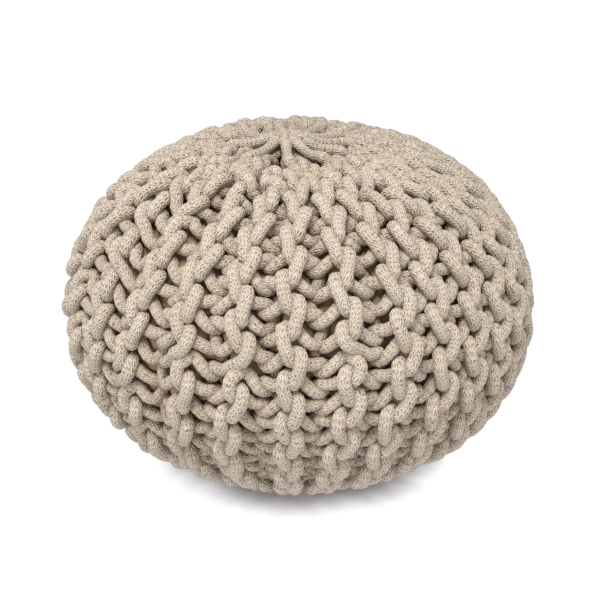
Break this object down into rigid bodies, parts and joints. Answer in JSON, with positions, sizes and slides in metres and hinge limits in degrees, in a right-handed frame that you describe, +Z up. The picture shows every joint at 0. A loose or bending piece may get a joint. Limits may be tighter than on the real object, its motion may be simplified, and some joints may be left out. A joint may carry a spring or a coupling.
{
  "type": "knitted pouf",
  "caption": "Low round pouf: a chunky garter-stitch cord cover with ridges from gather to gather over a filled bag",
  "frame": {"origin": "centre of the base, where the pouf stands on the floor", "axes": "+Z up, front of the picture faces -Y, +X to the right"},
  "size_m": [0.4962, 0.5011, 0.3618],
  "materials": {
    "cotton_cord": "matt undyed cotton tube cord, knitted, with fine darker flecks",
    "cotton_bag": "matt plain-woven undyed cotton"
  },
  "bodies": {
    "root": {"knit_cover": "cotton_cord", "inner_bag": "cotton_bag"}
  },
  "joints": []
}
